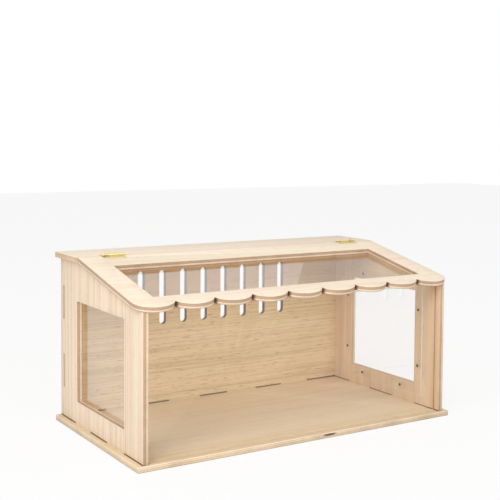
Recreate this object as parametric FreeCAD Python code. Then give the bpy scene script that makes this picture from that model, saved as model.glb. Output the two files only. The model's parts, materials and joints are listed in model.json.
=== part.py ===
import FreeCAD, Part
import math
import os

# Hamster cage in plywood with clear sheets, a glazed lid and a lift-out front sheet.
# Millimetres. +X to the right, +Y to the back, +Z up.
# The origin is under the middle of the cage, at the underside of the base board.

# Base board
overall_width = 600.0        # base board, roof board and lid, left to right
base_thickness = 9.0
base_front_lip = 5.0         # base board in front of the end walls
side_overhang = 10.0         # base, roof and lid beyond the outer face of each end wall
mortise_gap = 0.9            # round each tab in the base board
tab_recess = 0.5             # tab ends stay above the underside of the base

# End walls
side_thickness = 9.0
side_depth = 326.0           # front to back
side_tabs = 3                # tabs along the foot, with gaps of the same length between them
rear_height = 273.0          # wall height above the base, under the roof board
window_setback = 66.0        # wood in front of the window
window_rear_stile = 72.0     # wood behind the window, to the rear edge of the wall
window_sill = 37.0           # wood under the window
window_head = 33.4           # wood from the window's front top corner up to the lid

# Back wall
back_thickness = 9.0
back_inset = 8.0             # behind the back wall, to the rear edge of the end walls
back_mid_tabs = 3            # tabs in the base between the two at the corners
back_mid_tab = 57.0
back_tab_pitch = 121.5
back_end_tab = 68.0
tenon_length = 57.0          # two through tenons at each end of the back wall
lower_tenon_height = 79.0    # from the base up to the middle of the tenon
upper_tenon_drop = 77.0      # from the roof board down to the middle of the tenon
tenon_gap = 0.3
slot_count = 8
slot_pitch = 42.1
slot_width = 13.0
slot_height = 96.0
slot_head = 35.0             # from the slots up to the roof board

# Roof board
roof_thickness = 9.0
roof_depth = 102.6
dowel_diameter = 5.0
dowel_inset = 30.0           # from the front and rear of the roof board, in the end walls
dowel_spread = 170.0         # between the dowels in the back wall
dowel_in_wall = 10.0
dowel_in_roof = 6.0
dowel_end_gap = 0.5
dowel_gap = 0.1

# Lid
lid_thickness = 9.0
lid_slope = 12.0             # degrees, falling to the front
lid_front_reach = 8.0        # scallop tips in front of the end walls
lid_rear_strip = 48.0
lid_front_strip = 40.0       # from the scallop tips to the lid opening
lid_side_strip = 41.0
lid_corner_radius = 25.0
scallop_count = 9
scallop_depth = 16.0
cusp_notch_radius = 1.2
seam_gap = 1.0               # between the roof board and the lid
lid_clearance = 0.3          # between the lid and the end walls under it

# Clear sheets
sheet_thickness = 3.0
window_sheet_lap = 20.0      # beyond the window on every side
lid_sheet_lap = 15.0
lid_screw_margin = 8.0       # from the lid opening to its row of screws
front_groove_setback = 11.8  # from the front edge of the end walls to the groove
front_groove_width = 3.6
front_groove_depth = 4.5
floor_groove_depth = 2.0
floor_groove_end = 2.0       # from each end wall to the end of the groove in the base
front_sheet_gap = 0.3        # at the foot and in the end grooves
front_sheet_lift = 4.0       # free height between the front sheet and the closed lid

# Screws for the clear sheets
screw_margin = 10.5          # from a window to its row of screws
screw_head_diameter = 5.2
screw_head_height = 1.7
screw_shank_diameter = 2.6
screw_length = 8.5
screw_spread = 0.3           # window screws lie this share of the opening from its middle
screw_slot_width = 0.8       # driver cross in the head
screw_slot_length = 3.7
screw_slot_depth = 0.8
pilot_gap = 0.1
lid_screws_per_row = 4

# Brass hinges
hinge_length = 40.0
hinge_inset = 61.0           # from the end of the roof board to the middle of each hinge
leaf_depth = 12.5
leaf_thickness = 1.0
barrel_diameter = 4.6
pin_diameter = 2.4
pin_fit = 0.06
pin_head_diameter = 3.8
pin_head_thickness = 0.9
middle_knuckle = 17.0
knuckle_gap = 0.3
hinge_screw_spacing = 24.0
hinge_screw_setback = 7.6    # from the hinge axis
hinge_screw_head = 4.6
hinge_screw_shank = 2.2
hinge_screw_length = 7.0
hinge_screw_dome = 0.5
hinge_screw_slot_length = 3.2
hinge_screw_slot_depth = 0.7

# Worked out from the sizes above
half_width = overall_width / 2
wall_outer = half_width - side_overhang
wall_inner = wall_outer - side_thickness
front_y = -(side_depth - lid_front_reach) / 2
rear_y = front_y + side_depth
back_outer_y = rear_y - back_inset
back_inner_y = back_outer_y - back_thickness
floor_z = base_thickness
wall_top = floor_z + rear_height
roof_top = wall_top + roof_thickness
roof_front_y = rear_y - roof_depth
axis_y = roof_front_y - seam_gap / 2
axis_z = roof_top + barrel_diameter / 2
hinge_place = half_width - hinge_inset
slope = math.radians(lid_slope)
big = 4 * (overall_width + side_depth + rear_height)
overrun = 1.0                # cuts start and end this far outside the faces they go through
tolerance = 0.01


def box(x0, x1, y0, y1, z0, z1):
    return Part.makeBox(x1 - x0, y1 - y0, z1 - z0, FreeCAD.Vector(x0, y0, z0))


def rod(diameter, start, direction, length):
    return Part.makeCylinder(diameter / 2, length, FreeCAD.Vector(*start), FreeCAD.Vector(*direction))


def prism(points, direction):
    """A flat outline of straight edges, pushed along a direction."""
    corners = [FreeCAD.Vector(*point) for point in points]
    outline = Part.makePolygon(corners + corners[:1])
    return Part.Face(outline).extrude(FreeCAD.Vector(*direction))


def mirrored(shape):
    """The same piece for the other side of the cage."""
    return shape.mirror(FreeCAD.Vector(0, 0, 0), FreeCAD.Vector(1, 0, 0))


def tilted(shape):
    """From the lid's own flat frame, with the hinge axis as its origin, to its closed place."""
    placed = shape.copy()
    placed.rotate(FreeCAD.Vector(0, 0, 0), FreeCAD.Vector(1, 0, 0), lid_slope)
    placed.translate(FreeCAD.Vector(0, axis_y, axis_z))
    return placed


def lid_underside(y):
    """Height of the closed lid's lower face at a distance from front to back."""
    return axis_z + (y - axis_y) * math.tan(slope) - (barrel_diameter / 2 + lid_thickness) / math.cos(slope)


def window_span():
    """The window in an end wall: front, rear, foot and top."""
    y0 = front_y + window_setback
    y1 = rear_y - window_rear_stile
    return y0, y1, floor_z + window_sill, lid_underside(y0) - window_head


def side_tab_spans():
    step = side_depth / (2 * side_tabs - 1)
    return [(front_y + 2 * k * step, front_y + (2 * k + 1) * step) for k in range(side_tabs)]


def back_tab_spans():
    middle = [(k - (back_mid_tabs - 1) / 2) * back_tab_pitch for k in range(back_mid_tabs)]
    spans = [(x - back_mid_tab / 2, x + back_mid_tab / 2) for x in middle]
    return [(-wall_inner, -wall_inner + back_end_tab)] + spans + [(wall_inner - back_end_tab, wall_inner)]


def tenon_spans():
    middles = [floor_z + lower_tenon_height, wall_top - upper_tenon_drop]
    return [(z - tenon_length / 2, z + tenon_length / 2) for z in middles]


# Sheet screws

def sheet_screw(point, inward):
    """A round-head screw: its head stands on the sheet at the point, its shank goes inward."""
    outward = FreeCAD.Vector(*inward) * -1
    base = FreeCAD.Vector(*point)
    radius = screw_head_diameter / 2
    ball = (radius ** 2 + screw_head_height ** 2) / (2 * screw_head_height)
    dome = Part.makeSphere(ball, base + outward * (screw_head_height - ball))
    drum = Part.makeCylinder(radius, screw_head_height, base, outward)
    head = drum.common(dome)
    shank = Part.makeCylinder(screw_shank_diameter / 2, screw_length, base, outward * -1)
    return head.fuse(shank).removeSplitter().cut(cross_cut(base, outward))


def cross_cut(base, outward):
    """The driver cross in a screw head."""
    reach = screw_slot_length / 2
    half = screw_slot_width / 2
    deep = screw_head_height - screw_slot_depth
    top = screw_head_height + overrun
    bar = box(-reach, reach, -half, half, deep, top)
    cross = bar.fuse(box(-half, half, -reach, reach, deep, top))
    turn = FreeCAD.Rotation(FreeCAD.Vector(0, 0, 1), outward)
    cross.Placement = FreeCAD.Placement(base, turn)
    return cross


def pilot(point, inward):
    """The hole that a sheet screw needs, through the sheet and into the wood."""
    start = FreeCAD.Vector(*point)
    return Part.makeCylinder(screw_shank_diameter / 2 + pilot_gap, screw_length + pilot_gap, start,
                             FreeCAD.Vector(*inward))


def window_screw_points():
    """Where the right window's screws stand on its sheet, two along each side."""
    x = wall_inner - sheet_thickness
    y0, y1, z0, z1 = window_span()
    points = []
    for sign in (-1, 1):
        along_y = (y0 + y1) / 2 + sign * screw_spread * (y1 - y0)
        along_z = (z0 + z1) / 2 + sign * screw_spread * (z1 - z0)
        points += [(x, along_y, z0 - screw_margin), (x, along_y, z1 + screw_margin)]
        points += [(x, y0 - screw_margin, along_z), (x, y1 + screw_margin, along_z)]
    return points


# Cabin walls

def base_board():
    y0 = front_y - base_front_lip
    board = box(-half_width, half_width, y0, rear_y, 0, base_thickness)
    for start, end in side_tab_spans():
        hole = box(wall_inner - mortise_gap, wall_outer + mortise_gap,
                   start - mortise_gap, end + mortise_gap, -overrun, base_thickness + overrun)
        board = board.cut([hole, mirrored(hole)])
    for start, end in back_tab_spans():
        hole = box(start - mortise_gap, end + mortise_gap,
                   back_inner_y - mortise_gap, back_outer_y + mortise_gap, -overrun, base_thickness + overrun)
        board = board.cut(hole)
    groove_y = front_y + front_groove_setback
    reach = wall_inner - floor_groove_end
    groove = box(-reach, reach, groove_y, groove_y + front_groove_width,
                 floor_z - floor_groove_depth, floor_z + overrun)
    return board.cut(groove).removeSplitter()


def side_wall():
    """The right end wall: level under the roof board, sloped under the lid."""
    front_top = lid_underside(front_y) - lid_clearance
    slope_top = lid_underside(roof_front_y) - lid_clearance
    profile = [(wall_inner, front_y, floor_z), (wall_inner, rear_y, floor_z),
               (wall_inner, rear_y, wall_top), (wall_inner, roof_front_y, wall_top),
               (wall_inner, roof_front_y, slope_top), (wall_inner, front_y, front_top)]
    wall = prism(profile, (side_thickness, 0, 0))
    tabs = [box(wall_inner, wall_outer, start, end, tab_recess, floor_z) for start, end in side_tab_spans()]
    wall = wall.fuse(tabs).removeSplitter()
    window = box(wall_inner - overrun, wall_outer + overrun, *window_span())
    groove_y = front_y + front_groove_setback
    groove = box(wall_inner - overrun, wall_inner + front_groove_depth,
                 groove_y, groove_y + front_groove_width, floor_z, wall_top)
    mortises = [box(wall_inner - overrun, wall_outer + overrun,
                    back_inner_y - tenon_gap, back_outer_y + tenon_gap,
                    low - tenon_gap, high + tenon_gap) for low, high in tenon_spans()]
    pilots = [pilot(point, (1, 0, 0)) for point in window_screw_points()]
    dowels = [dowel_hole(point) for point in dowel_points() if point[0] > wall_inner]
    return wall.cut([window, groove] + mortises + pilots + dowels)


def back_wall():
    wall = box(-wall_inner, wall_inner, back_inner_y, back_outer_y, floor_z, wall_top)
    tabs = [box(start, end, back_inner_y, back_outer_y, tab_recess, floor_z)
            for start, end in back_tab_spans()]
    tenons = [box(-wall_outer, wall_outer, back_inner_y, back_outer_y, low, high)
              for low, high in tenon_spans()]
    wall = wall.fuse(tabs + tenons).removeSplitter()
    slots = [vent_slot((k - (slot_count - 1) / 2) * slot_pitch) for k in range(slot_count)]
    dowels = [dowel_hole(point) for point in dowel_points() if abs(point[0]) < wall_inner]
    return wall.cut(slots + dowels)


def vent_slot(x):
    """An upright air slot with round ends."""
    radius = slot_width / 2
    high = wall_top - slot_head - radius
    low = high - slot_height + slot_width
    y0 = back_inner_y - overrun
    depth = back_thickness + 2 * overrun
    ends = [rod(slot_width, (x, y0, z), (0, 1, 0), depth) for z in (low, high)]
    return box(x - radius, x + radius, y0, y0 + depth, low, high).fuse(ends)


# Roof board and its dowels

def dowel_points():
    """Dowel places on the wall tops: two in each end wall and three in the back wall."""
    end_x = wall_outer - side_thickness / 2
    back_y = back_outer_y - back_thickness / 2
    places = (roof_front_y + dowel_inset, rear_y - dowel_inset)
    points = [(x, y, wall_top) for x in (-end_x, end_x) for y in places]
    return points + [(x, back_y, wall_top) for x in (-dowel_spread, 0.0, dowel_spread)]


def dowel(point):
    x, y, z = point
    return rod(dowel_diameter, (x, y, z - dowel_in_wall), (0, 0, 1), dowel_in_wall + dowel_in_roof)


def dowel_hole(point):
    x, y, z = point
    start = (x, y, z - dowel_in_wall - dowel_end_gap)
    length = dowel_in_wall + dowel_in_roof + 2 * dowel_end_gap
    return rod(dowel_diameter + 2 * dowel_gap, start, (0, 0, 1), length)


def roof_board():
    board = box(-half_width, half_width, roof_front_y, rear_y, wall_top, roof_top)
    holes = [dowel_hole(point) for point in dowel_points()]
    holes += [hinge_pilot(point) for point in hinge_screw_points()]
    return board.cut(holes)


# Lid, in its own flat frame with the hinge axis as its origin

lid_face = -barrel_diameter / 2              # top face of the lid
lid_back = lid_face - lid_thickness          # lower face of the lid
lid_tip = (front_y - lid_front_reach - axis_y + lid_face * math.sin(slope)) / math.cos(slope)


def lid_outline():
    """The outline of the lid from above, with an arc for each scallop."""
    pitch = overall_width / scallop_count
    cusp = lid_tip + scallop_depth
    rear = barrel_diameter
    corner = FreeCAD.Vector
    edges = [Part.makeLine(corner(half_width, cusp, 0), corner(half_width, rear, 0)),
             Part.makeLine(corner(half_width, rear, 0), corner(-half_width, rear, 0)),
             Part.makeLine(corner(-half_width, rear, 0), corner(-half_width, cusp, 0))]
    for k in range(scallop_count):
        left = -half_width + k * pitch
        tip = corner(left + pitch / 2, lid_tip, 0)
        arc = Part.Arc(corner(left, cusp, 0), tip, corner(left + pitch, cusp, 0))
        edges.append(arc.toShape())
    return Part.Wire(Part.__sortEdges__(edges))


def lid_opening_box(lap, low, high):
    """A block the size of the lid opening, made larger all round by a lap."""
    x = half_width - lid_side_strip + lap
    return box(-x, x, lid_tip + lid_front_strip - lap, -lid_rear_strip + lap, low, high)


def lid_screw_points():
    """Where the screws stand on the lower face of the lid's sheet."""
    x = half_width - lid_side_strip + lid_screw_margin
    near = lid_tip + lid_front_strip - lid_screw_margin
    far = -lid_rear_strip + lid_screw_margin
    z = lid_back - sheet_thickness
    span = 2 * (half_width - lid_side_strip)
    columns = [((k + 0.5) / lid_screws_per_row - 0.5) * span for k in range(lid_screws_per_row)]
    rows = [(column, y, z) for column in columns for y in (near, far)]
    return rows + [(-x, (near + far) / 2, z), (x, (near + far) / 2, z)]


def lid_frame():
    plate = Part.Face(lid_outline()).extrude(FreeCAD.Vector(0, 0, lid_thickness))
    plate.translate(FreeCAD.Vector(0, 0, lid_back))
    plate = plate.makeFillet(lid_corner_radius, lid_corner_edges(plate))
    pitch = overall_width / scallop_count
    cusp = lid_tip + scallop_depth
    notches = [rod(2 * cusp_notch_radius, (-half_width + k * pitch, cusp, lid_back - overrun), (0, 0, 1),
                   lid_thickness + 2 * overrun) for k in range(1, scallop_count)]
    opening = lid_opening_box(0, lid_back - overrun, lid_face + overrun)
    pilots = [pilot(point, (0, 0, 1)) for point in lid_screw_points()]
    frame = tilted(plate.cut(notches + [opening] + pilots))
    rear_cut = box(-big, big, axis_y - seam_gap / 2, big, -big, big)
    holes = [tilted(hinge_pilot(point)) for point in lid_hinge_screw_points()]
    return frame.cut([rear_cut] + holes)


def lid_corner_edges(plate):
    """The two upright edges where the outer scallops meet the sides of the lid."""
    cusp = lid_tip + scallop_depth
    found = []
    for edge in plate.Edges:
        middle = edge.CenterOfMass
        if abs(abs(middle.x) - half_width) < tolerance and abs(middle.y - cusp) < tolerance:
            found.append(edge)
    return found


def lid_sheet():
    sheet = lid_opening_box(lid_sheet_lap, lid_back - sheet_thickness, lid_back)
    return tilted(sheet.cut([pilot(point, (0, 0, 1)) for point in lid_screw_points()]))


# Clear sheets of the cabin

def window_sheet():
    lap = window_sheet_lap
    y0, y1, z0, z1 = window_span()
    sheet = box(wall_inner - sheet_thickness, wall_inner, y0 - lap, y1 + lap, z0 - lap, z1 + lap)
    return sheet.cut([pilot(point, (1, 0, 0)) for point in window_screw_points()])


def front_sheet():
    reach = wall_inner + front_groove_depth - front_sheet_gap
    middle_y = front_y + front_groove_setback + front_groove_width / 2
    y0 = middle_y - sheet_thickness / 2
    foot = floor_z - floor_groove_depth
    sheet = box(-reach, reach, y0, y0 + sheet_thickness, foot + front_sheet_gap,
                lid_underside(y0) - front_sheet_lift)
    inner = wall_inner - floor_groove_end - front_sheet_gap
    notch = box(inner, big, y0 - overrun, y0 + sheet_thickness + overrun, 0, floor_z + front_sheet_gap)
    return sheet.cut([notch, mirrored(notch)])


# Hinges, in a frame with the hinge axis as its origin

def knuckle(start, end):
    bore = pin_diameter + 2 * pin_fit
    sleeve = rod(barrel_diameter, (start, 0, 0), (1, 0, 0), end - start)
    return sleeve.cut(rod(bore, (start - overrun, 0, 0), (1, 0, 0), end - start + 2 * overrun))


def leaf(side, knuckles, gaps):
    """A flat leaf with its knuckles: side is 1 for the roof leaf and -1 for the lid leaf."""
    half = hinge_length / 2
    near, far = sorted((0, side * leaf_depth))
    plate = box(-half, half, near, far, lid_face, lid_face + leaf_thickness)
    clearance = barrel_diameter + 2 * knuckle_gap
    cuts = [rod(clearance, (start, 0, 0), (1, 0, 0), end - start) for start, end in gaps]
    bore = rod(pin_diameter + 2 * pin_fit, (-big, 0, 0), (1, 0, 0), 2 * big)
    plate = plate.cut(cuts + [bore])
    plate = plate.fuse([knuckle(start, end) for start, end in knuckles]).removeSplitter()
    screws = [hinge_screw((x, side * hinge_screw_setback), pilot_gap) for x in hinge_screw_columns()]
    return plate.cut(screws)


def hinge_screw_columns():
    return (-hinge_screw_spacing / 2, hinge_screw_spacing / 2)


def hinge_screw(place, gap=0.0):
    """A countersunk screw in a leaf, its lower face on the wood under the leaf."""
    x, y = place
    top = lid_face + leaf_thickness
    cone = Part.makeCone(hinge_screw_shank / 2 + gap, hinge_screw_head / 2 + gap, leaf_thickness,
                         FreeCAD.Vector(x, y, lid_face))
    shank = rod(hinge_screw_shank + 2 * gap, (x, y, lid_face - hinge_screw_length), (0, 0, 1),
                hinge_screw_length)
    screw = cone.fuse(shank)
    if gap:
        return screw
    radius = hinge_screw_head / 2
    ball = (radius ** 2 + hinge_screw_dome ** 2) / (2 * hinge_screw_dome)
    dome = Part.makeSphere(ball, FreeCAD.Vector(x, y, top + hinge_screw_dome - ball))
    drum = rod(hinge_screw_head, (x, y, top), (0, 0, 1), hinge_screw_dome)
    screw = screw.fuse(drum.common(dome)).removeSplitter()
    half = screw_slot_width / 2
    reach = hinge_screw_slot_length / 2
    deep = top + hinge_screw_dome - hinge_screw_slot_depth
    slots = [box(x - reach, x + reach, y - half, y + half, deep, top + overrun),
             box(x - half, x + half, y - reach, y + reach, deep, top + overrun)]
    return screw.cut(slots)


def hinge_pin():
    half = hinge_length / 2
    pin = rod(pin_diameter, (-half, 0, 0), (1, 0, 0), hinge_length)
    heads = [rod(pin_head_diameter, (x, 0, 0), (1, 0, 0), pin_head_thickness)
             for x in (-half - pin_head_thickness, half)]
    return pin.fuse(heads)


def hinge_screw_points():
    """Places of the roof-leaf screws in the cage's frame, at the top of the roof board."""
    y = axis_y + hinge_screw_setback
    return [(side * hinge_place + x, y, roof_top) for side in (-1, 1) for x in hinge_screw_columns()]


def lid_hinge_screw_points():
    """Places of the lid-leaf screws in the lid's own frame, at its top face."""
    return [(side * hinge_place + x, -hinge_screw_setback, lid_face)
            for side in (-1, 1) for x in hinge_screw_columns()]


def hinge_pilot(point):
    """The hole that a hinge screw needs in the wood under its leaf."""
    x, y, z = point
    deep = hinge_screw_length + pilot_gap
    return rod(hinge_screw_shank + 2 * pilot_gap, (x, y, z - deep), (0, 0, 1), deep + overrun)


def hinge_nodes(name, x):
    """One hinge: both leaves, the pin and the screws of each leaf."""
    half = hinge_length / 2
    middle = middle_knuckle / 2
    outer = [(-half, -middle - knuckle_gap), (middle + knuckle_gap, half)]
    inner = [(-middle, middle)]
    outer_room = [(-half - overrun, -middle), (middle, half + overrun)]
    inner_room = [(-middle - knuckle_gap, middle + knuckle_gap)]
    roof_screws = Part.Compound([hinge_screw((c, hinge_screw_setback)) for c in hinge_screw_columns()])
    lid_screws = Part.Compound([hinge_screw((c, -hinge_screw_setback)) for c in hinge_screw_columns()])
    roof_side = {
        name + "_roof_leaf": leaf(1, outer, inner_room),
        name + "_pin": hinge_pin(),
        name + "_roof_screws": roof_screws,
    }
    lid_side = {
        name + "_lid_leaf": leaf(-1, inner, outer_room),
        name + "_lid_screws": lid_screws,
    }
    placed = {}
    for node, shape in roof_side.items():
        shape.translate(FreeCAD.Vector(x, axis_y, axis_z))
        placed[node] = shape
    for node, shape in lid_side.items():
        shape.translate(FreeCAD.Vector(x, 0, 0))
        placed[node] = tilted(shape)
    return placed


def all_nodes():
    right_screws = Part.Compound([sheet_screw(point, (1, 0, 0)) for point in window_screw_points()])
    lid_screws = Part.Compound([sheet_screw(point, (0, 0, 1)) for point in lid_screw_points()])
    right_wall = side_wall()
    right_sheet = window_sheet()
    nodes = {
        "base_board": base_board(),
        "left_side_panel": mirrored(right_wall),
        "right_side_panel": right_wall,
        "back_wall": back_wall(),
        "rear_roof_board": roof_board(),
        "roof_dowels": Part.Compound([dowel(point) for point in dowel_points()]),
        "lid_frame": lid_frame(),
        "lid_pane": lid_sheet(),
        "lid_pane_screws": tilted(lid_screws),
        "left_window_pane": mirrored(right_sheet),
        "right_window_pane": right_sheet,
        "left_window_screws": mirrored(right_screws),
        "right_window_screws": right_screws,
        "front_pane": front_sheet(),
    }
    nodes.update(hinge_nodes("left_hinge", -hinge_place))
    nodes.update(hinge_nodes("right_hinge", hinge_place))
    return nodes


os.makedirs("parts", exist_ok=True)
for node, shape in all_nodes().items():
    shape.exportStep("parts/" + node + ".step")
    print(node, len(shape.Solids), "solid(s)", round(shape.Volume, 1), "mm3", shape.isValid())
print("hinge axis", round(axis_y, 4), round(axis_z, 4))
print("cabin floor", floor_z, "front", front_y, "back", back_inner_y, "half inside", wall_inner)
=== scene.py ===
import json
import math

import bpy
from mathutils import Matrix, Vector

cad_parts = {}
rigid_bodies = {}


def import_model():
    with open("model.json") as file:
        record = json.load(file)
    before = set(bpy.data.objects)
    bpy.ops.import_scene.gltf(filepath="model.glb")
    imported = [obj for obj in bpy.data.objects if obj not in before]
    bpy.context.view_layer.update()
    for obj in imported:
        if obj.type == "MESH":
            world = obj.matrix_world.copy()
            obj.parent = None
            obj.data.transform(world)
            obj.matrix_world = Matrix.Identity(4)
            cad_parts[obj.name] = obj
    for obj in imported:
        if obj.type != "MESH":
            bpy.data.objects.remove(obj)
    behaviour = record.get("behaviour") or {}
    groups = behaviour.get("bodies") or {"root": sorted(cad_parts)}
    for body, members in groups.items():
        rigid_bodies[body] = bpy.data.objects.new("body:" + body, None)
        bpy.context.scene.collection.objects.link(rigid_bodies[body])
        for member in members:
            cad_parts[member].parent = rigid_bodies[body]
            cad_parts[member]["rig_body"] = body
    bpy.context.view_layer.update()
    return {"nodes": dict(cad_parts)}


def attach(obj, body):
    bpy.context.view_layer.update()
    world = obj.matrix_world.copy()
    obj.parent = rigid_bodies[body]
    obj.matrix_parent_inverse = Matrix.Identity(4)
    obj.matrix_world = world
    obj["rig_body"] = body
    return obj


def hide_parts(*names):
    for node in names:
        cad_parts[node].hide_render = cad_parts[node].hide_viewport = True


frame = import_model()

mm = 0.001
print("frame loaded:", len(frame["nodes"]), "nodes")


# Shared helpers

def linear(hexColour):
    # sRGB hex to the linear colour that the sockets take
    shares = [int(hexColour[i:i + 2], 16) / 255 for i in (1, 3, 5)]
    return [((s + 0.055) / 1.055) ** 2.4 if s > 0.04045 else s / 12.92 for s in shares] + [1.0]


def perMm(along, across):
    # scale that makes one pattern unit `along` mm with the grain and `across` mm over it
    return (1 / (along * mm), 1 / (across * mm), 1 / (across * mm))


def addNode(tree, kind, inputs=None, **settings):
    node = tree.nodes.new("ShaderNode" + kind)
    for name, value in settings.items():
        setattr(node, name, value)
    for key, value in (inputs or {}).items():
        if isinstance(value, bpy.types.Node):
            value = next(output for output in value.outputs if output.enabled)
        if isinstance(value, bpy.types.NodeSocket):
            tree.links.new(value, node.inputs[key])
        else:
            node.inputs[key].default_value = value
    return node


def emptyMaterial(name):
    material = bpy.data.materials.new(name)
    material.use_nodes = True
    material.node_tree.nodes.clear()
    return material, material.node_tree


# how a Mix node blends two colours
mixed = {"data_type": "RGBA"}
multiplied = {"data_type": "RGBA", "blend_type": "MULTIPLY"}


# Plywood

lidSlope = 12.0
hingeAxis = Vector((0, 63.9, 293.3)) * mm
sheet = 9.0  # mm, thickness of every plywood board
faceLimit = 0.8  # how squarely a surface looks along the normal to count as a face

plyLook = {
    "face": "#F0DFC6",        # sanded face veneer
    "late": "#D9BC94",        # darker growth bands
    "pink": "#EFD6BE",
    "green": "#E9DEC0",
    "pore": "#B08A5E",
    "burn": "#6B4526",        # laser-cut edge at its darkest
    "driftMm": 7.0,
    "bandMm": 22.0,
    "growthMm": 4.0,
    "fibreMm": 1.3,           # coarser than real fibres, so that it shows
    "poreMm": 1.4,
    "figureLines": 5.0,
    "figureMm": (1400, 45),   # length and width of one swell in the figure
    "bandShare": 0.5,
    "growthShare": 0.35,
    "figureShare": 0.15,
    "contrast": 1.0,
    "poreDepth": 0.25,
    "tintShare": 0.5,
    "burnShare": 0.25,
    "inner": None,            # painted shade over the face that looks into the cage
    "darker": None,           # painted shade that deepens the face towards the roof
    "layers": [(0.6, "#E9D6BA"), (0.5, "#B2906C"), (3.6, "#C4A687"), (0.4, "#9F7C59"),
               (3.2, "#EBD4BA"), (0.7, "#D3B999")],  # thickness in mm and colour, from the lower face up
}


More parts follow.
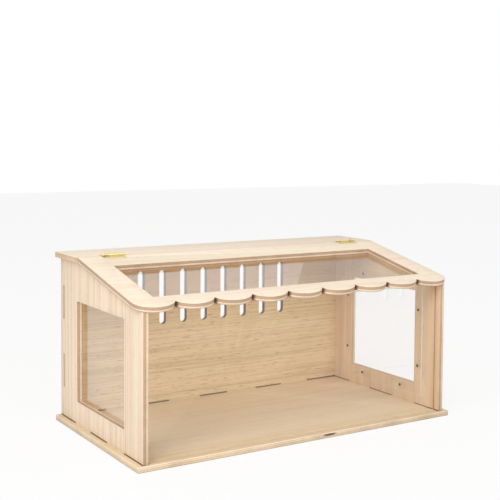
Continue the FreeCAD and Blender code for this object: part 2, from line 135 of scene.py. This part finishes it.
def plywood(name, axes, centre, look=None, tilt=0.0, kerfs=None, seam=None, knot=None, cusps=None,
            slots=None, seed=0.0):
    # Birch plywood, sanded and left bare: pale veneer with soft bands along the grain,
    # and cut edges that show a brown cross-laid core between two lighter plies.
    look = {**plyLook, **(look or {})}
    material, tree = emptyMaterial(name)
    turn = Matrix.Rotation(-math.radians(tilt), 4, "X")
    pivot = hingeAxis if tilt else Vector((0, 0, 0))
    shift = -(turn @ pivot) - Vector(centre) * mm
    coordinates = addNode(tree, "TexCoord")
    placed = addNode(tree, "Mapping", {"Vector": coordinates.outputs["Object"], "Location": shift,
                                       "Rotation": (-math.radians(tilt), 0, 0)})
    xyz = addNode(tree, "SeparateXYZ", {0: placed}).outputs
    along, across, through = (xyz[axis] for axis in axes)
    normal = turn.inverted().to_3x3() @ Vector([1.0 if axis == axes[2] else 0.0 for axis in "XYZ"])
    facing = addNode(tree, "VectorMath", {0: coordinates.outputs["Normal"], 1: normal},
                     operation="DOT_PRODUCT")
    either = addNode(tree, "Math", {0: facing}, operation="ABSOLUTE")
    onFace = addNode(tree, "Math", {0: either, 1: faceLimit}, operation="GREATER_THAN")

    # grain lines wander a little from straight
    flat = addNode(tree, "CombineXYZ", {0: along, 1: across, 2: seed})
    scaled = addNode(tree, "VectorMath", {0: flat, 1: perMm(260, 60)}, operation="MULTIPLY")
    drift = addNode(tree, "TexNoise", {"Vector": scaled, "Scale": 1.0, "Detail": 2.0})
    wander = addNode(tree, "Math", {0: drift, 1: 0.5}, operation="SUBTRACT")
    wander = addNode(tree, "Math", {0: wander, 1: look["driftMm"] * mm}, operation="MULTIPLY")
    across = addNode(tree, "Math", {0: across, 1: wander}, operation="ADD")
    grain = addNode(tree, "CombineXYZ", {0: along, 1: across, 2: seed})

    # each pattern: where it lies, its length and width in mm, and its detail
    patterns = {
        "bands": (grain, 900, look["bandMm"], 2.0),
        "growth": (grain, 300, look["growthMm"], 3.0),
        "fibre": (grain, 30, look["fibreMm"], 2.0),
        "hill": (grain, *look["figureMm"], 1.0),
        "tint": (grain, 1100, 34, 1.0),
        "fleck": (grain, 16, look["poreMm"], 1.0),
        "core": (placed, 2.2, 0.9, 2.0),
        "scorch": (placed, 45, 45, 3.0),
    }
    noise = {}
    for pattern, (place, lengthMm, widthMm, detail) in patterns.items():
        scaled = addNode(tree, "VectorMath", {0: place, 1: perMm(lengthMm, widthMm)}, operation="MULTIPLY")
        noise[pattern] = addNode(tree, "TexNoise", {"Vector": scaled, "Scale": 1.0, "Detail": detail})

    # rotary-cut figure: level lines of a long soft hill
    turns = addNode(tree, "Math", {0: noise["hill"], 1: look["figureLines"] * 2 * math.pi},
                    operation="MULTIPLY")
    wave = addNode(tree, "Math", {0: turns}, operation="SINE")
    figure = addNode(tree, "Math", {0: wave, 1: 0.5, 2: 0.5}, operation="MULTIPLY_ADD")
    tone = addNode(tree, "Math", {0: noise["bands"], 1: look["bandShare"]}, operation="MULTIPLY")
    for pattern, share in ((noise["growth"], look["growthShare"]), (figure, look["figureShare"])):
        tone = addNode(tree, "Math", {0: pattern, 1: share, 2: tone}, operation="MULTIPLY_ADD")
    late = addNode(tree, "MapRange", {0: tone, 1: 0.40, 2: 0.66, 3: 0.0, 4: look["contrast"]},
                   interpolation_type="SMOOTHSTEP")

    tint = addNode(tree, "MapRange", {0: noise["tint"], 1: 0.4, 2: 0.6})
    tint = addNode(tree, "Mix", {0: tint, 6: linear(look["pink"]), 7: linear(look["green"])}, **mixed)
    veneer = addNode(tree, "Mix", {0: look["tintShare"], 6: linear(look["face"]), 7: tint}, **mixed)
    veneer = addNode(tree, "Mix", {0: late, 6: veneer, 7: linear(look["late"])}, **mixed)
    fleck = addNode(tree, "MapRange", {0: noise["fleck"], 1: 0.62, 2: 0.74, 3: 0.0, 4: look["poreDepth"]})
    veneer = addNode(tree, "Mix", {0: fleck, 6: veneer, 7: linear(look["pore"])}, **mixed)
    fine = addNode(tree, "MapRange", {0: noise["fibre"], 1: 0.3, 2: 0.7, 3: 0.95, 4: 1.03})
    veneer = addNode(tree, "Mix", {0: 1.0, 6: veneer, 7: fine}, **multiplied)
    # painted shade: faces that look into the cage are darkened, standing in for the shade inside it
    if look["inner"]:
        outward = -1.0 if centre[0] > 0 else 1.0
        inward = addNode(tree, "Math", {0: facing, 1: outward}, operation="MULTIPLY")
        inward = addNode(tree, "Math", {0: inward, 1: faceLimit}, operation="GREATER_THAN")
        shadedVeneer = addNode(tree, "Mix", {0: 1.0, 6: veneer, 7: linear(look["inner"])}, **multiplied)
        veneer = addNode(tree, "Mix", {0: inward, 6: veneer, 7: shadedVeneer}, **mixed)
    # painted shade: the face darkens towards the roof, standing in for the shade the roof board casts
    if look["darker"]:
        darker = look["darker"]
        roofShadeMask = addNode(tree, "MapRange", {0: xyz["Z"], 1: darker["from"] * mm, 2: darker["to"] * mm},
                       interpolation_type="SMOOTHSTEP")
        shadedVeneer = addNode(tree, "Mix", {0: 1.0, 6: veneer, 7: linear(darker["colour"])}, **multiplied)
        veneer = addNode(tree, "Mix", {0: roofShadeMask, 6: veneer, 7: shadedVeneer}, **mixed)

    # the plies, seen on every cut edge
    depth = addNode(tree, "MapRange", {0: through, 1: -sheet / 2 * mm, 2: sheet / 2 * mm})
    ramp = addNode(tree, "ValToRGB", {0: depth})
    stops = ramp.color_ramp.elements
    ramp.color_ramp.interpolation = "CONSTANT"
    height = 0.0
    for k, (thickness, colour) in enumerate(look["layers"]):
        stop = stops[k] if k < 2 else stops.new(height / sheet)
        stop.position = height / sheet
        stop.color = linear(colour)
        height += thickness
    core = addNode(tree, "MapRange", {0: noise["core"], 1: 0.3, 2: 0.7, 3: 0.88, 4: 1.08})
    edge = addNode(tree, "Mix", {0: 1.0, 6: ramp, 7: core}, **multiplied)
    scorch = addNode(tree, "MapRange", {0: noise["scorch"], 1: 0.45, 2: 0.75, 3: 0.0, 4: look["burnShare"]})
    edge = addNode(tree, "Mix", {0: scorch, 6: edge, 7: linear(look["burn"])}, **mixed)

    if knot:
        edge = knotOn(tree, coordinates.outputs["Object"], edge, knot)
    if kerfs:
        veneer, edge = scorchedAndShadedKerfs(tree, xyz, veneer, edge, kerfs)
    if cusps:
        edge = charredAndShadedCusps(tree, xyz, edge, cusps)
    if slots:
        # slot walls: laser char together with painted shade inside the narrow vent slots
        aside = addNode(tree, "Math", {0: xyz["X"]}, operation="ABSOLUTE")
        within = addNode(tree, "Math", {0: aside, 1: slots["within"] * mm}, operation="LESS_THAN")
        above = addNode(tree, "Math", {0: xyz["Z"], 1: slots["above"] * mm}, operation="GREATER_THAN")
        within = addNode(tree, "Math", {0: within, 1: above}, operation="MULTIPLY")
        within = addNode(tree, "Math", {0: within, 1: slots["depth"]}, operation="MULTIPLY")
        edge = addNode(tree, "Mix", {0: within, 6: edge, 7: linear(slots["colour"])}, **mixed)
    if seam:
        off = addNode(tree, "Math", {0: xyz[seam["axis"]], 1: seam["at"] * mm}, operation="SUBTRACT")
        off = addNode(tree, "Math", {0: off}, operation="ABSOLUTE")
        line = addNode(tree, "MapRange", {0: off, 1: seam["halfMm"] * mm, 2: 2.2 * seam["halfMm"] * mm,
                                          3: seam["depth"], 4: 0.0})
        veneer = addNode(tree, "Mix", {0: line, 6: veneer, 7: linear(look["pore"])}, **mixed)
    colour = addNode(tree, "Mix", {0: onFace, 6: edge, 7: veneer}, **mixed)

    raised = addNode(tree, "Math", {0: noise["growth"], 1: 0.5}, operation="MULTIPLY")
    raised = addNode(tree, "Math", {0: noise["fibre"], 1: 0.3, 2: raised}, operation="MULTIPLY_ADD")
    raised = addNode(tree, "Math", {0: raised, 1: fleck}, operation="SUBTRACT")
    bump = addNode(tree, "Bump", {"Height": raised, "Strength": 0.25, "Distance": 0.25 * mm})
    rough = addNode(tree, "MapRange", {0: noise["growth"], 1: 0.3, 2: 0.7, 3: 0.58, 4: 0.72})
    shader = addNode(tree, "BsdfPrincipled", {"Base Color": colour, "Roughness": rough,
                                              "Specular IOR Level": 0.3, "Normal": bump})
    addNode(tree, "OutputMaterial", {0: shader})
    return material


def rectangleGap(tree, places, centre, half):
    # distance in metres outside an upright rectangle, negative inside
    gaps = []
    for place, middle, reach in zip(places, centre, half):
        off = addNode(tree, "Math", {0: place, 1: middle * mm}, operation="SUBTRACT")
        off = addNode(tree, "Math", {0: off}, operation="ABSOLUTE")
        gaps.append(addNode(tree, "Math", {0: off, 1: reach * mm}, operation="SUBTRACT"))
    return addNode(tree, "Math", {0: gaps[0], 1: gaps[1]}, operation="MAXIMUM")


def scorchedAndShadedKerfs(tree, xyz, veneer, edge, kerfs):
    # brown halo that the laser leaves round each cut-out, and its dark walls, both deepened with painted shade
    # of the joint gaps
    first, second = (xyz[axis] for axis in kerfs["axes"])
    if kerfs["mirrored"]:
        first = addNode(tree, "Math", {0: first}, operation="ABSOLUTE")
    gap = None
    for place in kerfs["rectangles"]:
        one = rectangleGap(tree, (first, second), place[:2], place[2:])
        gap = addNode(tree, "Math", {0: gap, 1: one}, operation="MINIMUM") if gap else one
    halo = addNode(tree, "MapRange", {0: gap, 1: kerfs["darkMm"] * mm, 2: kerfs["fadeMm"] * mm,
                                      3: kerfs["depth"], 4: 0.0}, interpolation_type="SMOOTHSTEP")
    wall = addNode(tree, "MapRange", {0: gap, 1: 0.9 * mm, 2: 1.3 * mm, 3: kerfs["wallDepth"], 4: 0.0})
    burn = linear(kerfs["burn"])
    return (addNode(tree, "Mix", {0: halo, 6: veneer, 7: burn}, **mixed),
            addNode(tree, "Mix", {0: wall, 6: edge, 7: burn}, **mixed))


def charredAndShadedCusps(tree, xyz, edge, cusps):
    # the laser slows down where two scallops meet and chars the edge there; the dark is also painted shade of
    # the notch between the scallops
    half = cusps["pitch"] / 2 * mm
    swing = addNode(tree, "Math", {0: xyz["X"], 1: half}, operation="PINGPONG")
    away = addNode(tree, "Math", {0: half, 1: swing}, operation="SUBTRACT")
    near = addNode(tree, "MapRange", {0: away, 1: cusps["darkMm"] * mm, 2: cusps["fadeMm"] * mm,
                                      3: cusps["depth"], 4: 0.0})
    aside = addNode(tree, "Math", {0: xyz["X"]}, operation="ABSOLUTE")
    within = addNode(tree, "Math", {0: aside, 1: cusps["within"] * mm}, operation="LESS_THAN")
    front = addNode(tree, "Math", {0: xyz["Y"], 1: cusps["behind"] * mm}, operation="LESS_THAN")
    for mask in (within, front):
        near = addNode(tree, "Math", {0: near, 1: mask}, operation="MULTIPLY")
    return addNode(tree, "Mix", {0: near, 6: edge, 7: linear(cusps["colour"])}, **mixed)


def knotOn(tree, position, edge, knot):
    # a small dark knot that the saw left on a front edge
    offset = addNode(tree, "VectorMath", {0: position, 1: Vector(knot["at"]) * mm}, operation="SUBTRACT")
    size = Vector([1 / (s * mm) for s in knot["size"]])
    offset = addNode(tree, "VectorMath", {0: offset, 1: size}, operation="MULTIPLY")
    away = addNode(tree, "VectorMath", {0: offset}, operation="LENGTH")
    scaled = addNode(tree, "VectorMath", {0: position, 1: perMm(3, 2)}, operation="MULTIPLY")
    ragged = addNode(tree, "TexNoise", {"Vector": scaled, "Scale": 1.0})
    ragged = addNode(tree, "Math", {0: ragged, 1: 0.5}, operation="SUBTRACT")
    away = addNode(tree, "Math", {0: away, 1: ragged}, operation="ADD")
    spot = addNode(tree, "MapRange", {0: away, 1: 0.8, 2: 1.15, 3: 0.85, 4: 0.0})
    return addNode(tree, "Mix", {0: spot, 6: edge, 7: linear(knot["colour"])}, **mixed)


# Kerf rectangles: middle and half size, mm. Walls are marked on both faces just above their tabs with painted
# shade, where they meet the base.
kerfLook = {"darkMm": 0.3, "fadeMm": 1.0, "depth": 0.9, "wallDepth": 0.0, "burn": "#513216", "mirrored": False}
baseKerfs = {**kerfLook, "axes": "XY", "mirrored": True, "darkMm": 0.8, "fadeMm": 2.0, "depth": 0.45,
             "wallDepth": 0.8,
             "rectangles": [(285.5, y, 4.5, 32.6) for y in (-126.4, 4.0, 134.4)]
             + [(x, 154.5, 28.5, 4.5) for x in (0.0, 121.5)] + [(247.0, 154.5, 34.0, 4.5)]}
sideKerfs = {**kerfLook, "axes": "YZ", "depth": 0.75,
             "rectangles": [(y, 9.0, 32.0, 0.8) for y in (-126.4, 4.0, 134.4)]}
backKerfs = {**kerfLook, "axes": "XZ", "mirrored": True,
             "rectangles": [(x, 9.0, 28.5, 1.3) for x in (0.0, 121.5)] + [(247.0, 9.0, 34.0, 1.3)]}
lidCusps = {"pitch": 600 / 9, "darkMm": 1.8, "fadeMm": 4.5, "depth": 0.85, "behind": -200.0, "within": 270.0,
            "colour": "#4E321B"}

baseLook = {"face": "#ECD5B2", "late": "#D6B88F", "contrast": 0.4, "figureShare": 0.12, "bandShare": 0.45,
            "pink": "#E6CDAC", "green": "#E1CEA8",
            "layers": [(1.2, "#BBAE9C"), (2.6, "#DFC8A8"), (0.5, "#B89D7A"), (2.6, "#E8D2B4"),
                       (0.5, "#C2A884"), (1.6, "#F6E5CA")]}
insideLook = {"face": "#F2D9B0", "late": "#CDA878", "pore": "#80592F", "contrast": 0.6, "figureShare": 0.06,
              "bandShare": 0.3, "growthShare": 0.64, "growthMm": 2.6, "poreDepth": 0.5, "bandMm": 34.0,
              "pink": "#EDD2AC", "green": "#E6D3A2",
              "darker": {"from": 120.0, "to": 240.0, "colour": "#E2CFB6"}}
sideLook = {"face": "#F2DFCA", "late": "#D8BA98", "contrast": 0.45, "growthMm": 3.4, "bandMm": 10.0,
            "driftMm": 2.0, "tintShare": 0.7, "pink": "#F1DAC6", "green": "#EBDBC0",
            "inner": "#F0E5D5"}
lidLook = {"face": "#FDEDD8", "late": "#E8CDAA", "contrast": 0.4, "bandMm": 14.0, "growthMm": 3.2,
           "pink": "#FDE9D6", "green": "#F9EACF", "poreDepth": 0.3, "figureShare": 0.08,
           "layers": [(0.9, "#C3A98A"), (2.6, "#F0DAC4"), (0.3, "#A98C6B"), (3.9, "#C2A587"),
                      (0.5, "#A98A68"), (0.8, "#F3E2C8")]}
roofLook = {**lidLook, "layers": [(0.8, "#CBB08E"), (3.2, "#E2C8A8"), (0.4, "#B08F66"), (3.2, "#D9BE9C"),
                                  (0.5, "#B99A74"), (0.9, "#F0DEC4")]}
ventCharAndShade = {"within": 165.0, "above": 120.0, "depth": 0.7, "colour": "#5A3B24"}  # narrow slots char the most; the dark on their walls is also painted shade
leftSeam = {"axis": "Y", "at": -98.0, "halfMm": 0.45, "depth": 0.5}  # two leaves of veneer meet here
frontKnot = {"at": (42.4, -164, 5.4), "size": (13, 6, 2.0), "colour": "#4A2C1A"}

boardMaterials = {
    "base_board": plywood("sanded birch plywood, base", "XYZ", (0, 0, 4.5), baseLook, kerfs=baseKerfs,
                          knot=frontKnot, seed=0.11),
    "left_side_panel": plywood("sanded birch plywood, left end", "ZYX", (-285.5, 0, 0), sideLook,
                               kerfs=sideKerfs, seam=leftSeam, seed=0.27),
    "right_side_panel": plywood("sanded birch plywood, right end", "ZYX", (285.5, 0, 0), sideLook,
                                kerfs=sideKerfs, seed=0.43),
    "back_wall": plywood("sanded birch plywood, back", "XZY", (0, 154.5, 0), insideLook, kerfs=backKerfs,
                         slots=ventCharAndShade, seed=0.59),
    "rear_roof_board": plywood("sanded birch plywood, roof", "XYZ", (0, 0, 286.5), roofLook, seed=0.71),
    "lid_frame": plywood("sanded birch plywood, lid", "XYZ", (0, 0, -6.8), lidLook, tilt=lidSlope,
                         cusps=lidCusps, seed=0.83),
}
print("plywood mixed:", len(boardMaterials), "boards")


# Clear sheets

acrylicLook = {"tint": "#FFFFFF", "rough": 0.01, "smudge": 0.02, "ior": 1.49, "sawn": "#E6D6C0"}


def castAcrylic(name, normal):
    # Cast acrylic, polished faces and sawn edges: clear with a clean gloss, faint smudges,
    # and a frosted pale rim. Shadow and diffuse rays pass straight through it.
    material, tree = emptyMaterial(name)
    coordinates = addNode(tree, "TexCoord")
    facing = addNode(tree, "VectorMath", {0: coordinates.outputs["Normal"], 1: Vector(normal)},
                     operation="DOT_PRODUCT")
    either = addNode(tree, "Math", {0: facing}, operation="ABSOLUTE")
    onFace = addNode(tree, "Math", {0: either, 1: faceLimit}, operation="GREATER_THAN")
    scaled = addNode(tree, "VectorMath", {0: coordinates.outputs["Object"], 1: perMm(90, 60)},
                     operation="MULTIPLY")
    smear = addNode(tree, "TexNoise", {"Vector": scaled, "Scale": 1.0, "Detail": 4.0})
    smear = addNode(tree, "MapRange", {0: smear, 1: 0.5, 2: 0.75, 3: acrylicLook["rough"],
                                       4: acrylicLook["smudge"]})
    glass = addNode(tree, "BsdfPrincipled", {"Base Color": linear(acrylicLook["tint"]), "Roughness": smear,
                                             "IOR": acrylicLook["ior"], "Transmission Weight": 1.0})
    clear = addNode(tree, "BsdfTransparent")
    path = addNode(tree, "LightPath")
    rim = addNode(tree, "BsdfDiffuse", {"Color": linear(acrylicLook["sawn"])})
    shade = addNode(tree, "MixShader", {0: onFace, 1: rim, 2: glass})
    for ray in ("Is Shadow Ray", "Is Diffuse Ray"):
        shade = addNode(tree, "MixShader", {0: path.outputs[ray], 1: shade, 2: clear})
    addNode(tree, "OutputMaterial", {0: shade})
    return material


lidNormal = Matrix.Rotation(math.radians(lidSlope), 3, "X") @ Vector((0, 0, 1))
sheetMaterials = {
    "lid_pane": castAcrylic("cast acrylic sheet, lid", lidNormal),
    "left_window_pane": castAcrylic("cast acrylic sheet, left window", (1, 0, 0)),
    "right_window_pane": castAcrylic("cast acrylic sheet, right window", (1, 0, 0)),
    "front_pane": castAcrylic("cast acrylic sheet, front", (0, 1, 0)),
}


# Metal

def pressedBrass():
    # Brass sheet, rolled and pressed: pale yellow with fine rolling lines, and olive patches of painted shade in
    # random spots.
    material, tree = emptyMaterial("pressed brass sheet")
    position = addNode(tree, "TexCoord").outputs["Object"]
    scaled = addNode(tree, "VectorMath", {0: position, 1: perMm(14, 0.35)}, operation="MULTIPLY")
    lines = addNode(tree, "TexNoise", {"Vector": scaled, "Scale": 1.0, "Detail": 3.0})
    scaled = addNode(tree, "VectorMath", {0: position, 1: perMm(6, 5)}, operation="MULTIPLY")
    shadeNoise = addNode(tree, "TexNoise", {"Vector": scaled, "Scale": 1.0, "Detail": 3.0})
    paintedShade = addNode(tree, "MapRange", {0: shadeNoise, 1: 0.5, 2: 0.75, 3: 0.0, 4: 0.5})
    colour = addNode(tree, "Mix", {0: paintedShade, 6: linear("#E9DCAA"), 7: linear("#9C8A50")}, **mixed)
    rough = addNode(tree, "MapRange", {0: lines, 1: 0.3, 2: 0.7, 3: 0.26, 4: 0.42})
    bump = addNode(tree, "Bump", {"Height": lines, "Strength": 0.15, "Distance": 0.05 * mm})
    shader = addNode(tree, "BsdfPrincipled", {"Base Color": colour, "Metallic": 1.0, "Roughness": rough,
                                              "Normal": bump})
    addNode(tree, "OutputMaterial", {0: shader})
    return material


def waxedSteel():
    # Black-oxide steel screws, waxed: nearly black brown and dull, a little lighter where worn.
    material, tree = emptyMaterial("black oxide steel screw")
    position = addNode(tree, "TexCoord").outputs["Object"]
    scaled = addNode(tree, "VectorMath", {0: position, 1: perMm(1.5, 1.5)}, operation="MULTIPLY")
    worn = addNode(tree, "TexNoise", {"Vector": scaled, "Scale": 1.0, "Detail": 3.0})
    worn = addNode(tree, "MapRange", {0: worn, 1: 0.5, 2: 0.7})
    colour = addNode(tree, "Mix", {0: worn, 6: linear("#40281A"), 7: linear("#5E452F")}, **mixed)
    rough = addNode(tree, "MapRange", {0: worn, 3: 0.6, 4: 0.4})
    shader = addNode(tree, "BsdfPrincipled", {"Base Color": colour, "Roughness": rough,
                                              "Specular IOR Level": 0.12})
    addNode(tree, "OutputMaterial", {0: shader})
    return material


def turnedBeech():
    # Beech dowel, turned: pinkish tan with short dark rays along the pin.
    material, tree = emptyMaterial("turned beech dowel")
    position = addNode(tree, "TexCoord").outputs["Object"]
    turned = addNode(tree, "Mapping", {"Vector": position, "Rotation": (0, math.pi / 2, 0)})
    scaled = addNode(tree, "VectorMath", {0: turned, 1: perMm(4, 0.6)}, operation="MULTIPLY")
    rays = addNode(tree, "TexNoise", {"Vector": scaled, "Scale": 1.0, "Detail": 2.0})
    rays = addNode(tree, "MapRange", {0: rays, 1: 0.45, 2: 0.7})
    colour = addNode(tree, "Mix", {0: rays, 6: linear("#D9B48A"), 7: linear("#A87B50")}, **mixed)
    shader = addNode(tree, "BsdfPrincipled", {"Base Color": colour, "Roughness": 0.6})
    addNode(tree, "OutputMaterial", {0: shader})
    return material


brass, steel, beech = pressedBrass(), waxedSteel(), turnedBeech()
print("sheet, metal and dowel materials mixed")


# Pieces: each board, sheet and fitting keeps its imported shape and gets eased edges

def easedPiece(node, material, widthMm, segments=2, smoothUnder=30.0, playMm=0.0):
    source = frame["nodes"][node]
    body = source["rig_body"]
    bpy.ops.object.select_all(action="DESELECT")
    piece = source.copy()
    piece.data = source.data.copy()
    piece.name = node.replace("_", " ").title().replace(" ", "")
    piece.name = piece.name[0].lower() + piece.name[1:]
    for key in list(piece.keys()):
        del piece[key]
    piece.parent = None
    bpy.context.scene.collection.objects.link(piece)
    piece.select_set(True)
    bpy.context.view_layer.objects.active = piece
    if piece.data.has_custom_normals:
        bpy.ops.mesh.customdata_custom_splitnormals_clear()
    bpy.ops.object.mode_set(mode="EDIT")
    bpy.ops.mesh.select_all(action="SELECT")
    bpy.ops.mesh.remove_doubles(threshold=0.005 * mm)
    bpy.ops.mesh.dissolve_limited(angle_limit=math.radians(0.3))
    if playMm:
        bpy.ops.mesh.select_all(action="SELECT")
        bpy.ops.transform.shrink_fatten(value=-playMm * mm)  # so that a sheet shares no face with the wood
    bpy.ops.object.mode_set(mode="OBJECT")
    if widthMm:
        bevel = piece.modifiers.new("eased edges", "BEVEL")
        bevel.width = widthMm * mm
        bevel.segments = segments
        bevel.limit_method = "ANGLE"
        bevel.angle_limit = math.radians(35)
        bpy.ops.object.modifier_apply(modifier=bevel.name)
    bpy.ops.object.shade_smooth_by_angle(angle=math.radians(smoothUnder))
    piece.data.materials.clear()
    piece.data.materials.append(material)
    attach(piece, body)
    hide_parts(node)
    return piece


for node, material in boardMaterials.items():
    easedPiece(node, material, 0.4)
for node, material in sheetMaterials.items():
    easedPiece(node, material, 0.25, 1, playMm=0.03)
for node in ("left_window_screws", "right_window_screws", "lid_pane_screws"):
    easedPiece(node, steel, 0.08, 1)
for side in ("left", "right"):
    for part in ("roof_leaf", "lid_leaf", "pin", "roof_screws", "lid_screws"):
        easedPiece(side + "_hinge_" + part, brass, 0.08, 1)
easedPiece("roof_dowels", beech, 0.3, 1)


# Studio

studio = {
    "worldFill": 0.58, "floorShare": 0.85,
    "keyPlace": (-1.75, -1.35, 1.75), "keySize": 1.8, "keyPower": 40.0,
    "frontPlace": (0.5, -2.6, 1.0), "frontSize": 1.6, "frontPower": 12.0,
    "flagPlace": (2.86, 2.5, 1.9), "flagSize": (1.5, 1.6, 1.0),
}


def seenRay(tree):
    # 1 for the rays that show the background, 0 for those that only light the cage
    path = addNode(tree, "LightPath").outputs
    bent = addNode(tree, "Math", {0: path["Is Glossy Ray"], 1: path["Is Transmission Ray"]}, operation="MAXIMUM")
    return addNode(tree, "Math", {0: path["Is Camera Ray"], 1: bent}, operation="MAXIMUM")


floorMaterial, tree = emptyMaterial("matt white studio floor")
seen = seenRay(tree)
share = addNode(tree, "Math", {0: seen, 1: studio["floorShare"]}, operation="MULTIPLY")
matt = addNode(tree, "BsdfDiffuse", {"Color": linear("#F8F7F5")})
glow = addNode(tree, "Emission", {"Color": linear("#FFFFFF"), "Strength": 1.0})
shade = addNode(tree, "MixShader", {0: share, 1: matt, 2: glow})
addNode(tree, "OutputMaterial", {0: shade})
bpy.ops.object.select_all(action="DESELECT")
bpy.ops.mesh.primitive_plane_add(size=14.0, location=(0, 0, -0.0003))
floor = bpy.context.object
floor.name = "studioFloor"
floor.data.materials.append(floorMaterial)

world = bpy.data.worlds.new("white studio")
bpy.context.scene.world = world
world.use_nodes = True
tree = world.node_tree
tree.nodes.clear()
seen = seenRay(tree)
fill = addNode(tree, "Background", {"Color": linear("#FFFFFF"), "Strength": studio["worldFill"]})
white = addNode(tree, "Background", {"Color": linear("#FFFFFF"), "Strength": 1.0})
shade = addNode(tree, "MixShader", {0: seen, 1: fill, 2: white})
addNode(tree, "OutputWorld", {0: shade})


def softbox(name, place, size, power):
    bpy.ops.object.light_add(type="AREA", location=place)
    lamp = bpy.context.object
    lamp.name = name
    lamp.data.shape = "SQUARE"
    lamp.data.size = size
    lamp.data.energy = power
    lamp.rotation_euler = (Vector((0, 0, 0.1)) - Vector(place)).to_track_quat("-Z", "Y").to_euler()
    lamp.visible_camera = False


softbox("keySoftbox", studio["keyPlace"], studio["keySize"], studio["keyPower"])
softbox("frontSoftbox", studio["frontPlace"], studio["frontSize"], studio["frontPower"])

# a grey flag behind the right end, which only gloss sees: it ends the white glare on the lid's sheet
flagGrey, tree = emptyMaterial("grey felt flag")
grey = addNode(tree, "Emission", {"Color": linear("#B8B5AE"), "Strength": 1.0})
addNode(tree, "OutputMaterial", {0: grey})
bpy.ops.object.select_all(action="DESELECT")
bpy.ops.mesh.primitive_plane_add(size=1.0, location=studio["flagPlace"], rotation=(math.pi / 2, 0, 0))
flag = bpy.context.object
flag.name = "greyFlag"
flag.scale = studio["flagSize"]
flag.data.materials.append(flagGrey)
flag.visible_camera = flag.visible_diffuse = flag.visible_transmission = flag.visible_shadow = False

# Camera, three-quarter view from the front left
view = {"place": (-0.9142, -1.4773, 0.4870), "yaw": 32.91, "pitch": 3.29, "roll": 0.46,
        "lens": 72.69, "shift": (-0.0541, -0.1073)}
bpy.ops.object.camera_add(location=view["place"])
camera = bpy.context.object
camera.name = "viewCamera"
camera.data.sensor_width = 36.0
camera.data.lens = view["lens"]
camera.data.shift_x, camera.data.shift_y = view["shift"]
camera.data.clip_start, camera.data.clip_end = 0.05, 50.0
turn = Matrix.Rotation(-math.radians(view["yaw"]), 4, "Z") @ Matrix.Rotation(
    math.radians(90 - view["pitch"]), 4, "X") @ Matrix.Rotation(math.radians(view["roll"]), 4, "Z")
camera.rotation_euler = turn.to_euler()
bpy.context.scene.camera = camera
bpy.context.scene.view_settings.view_transform = "Standard"
print("studio and camera set")
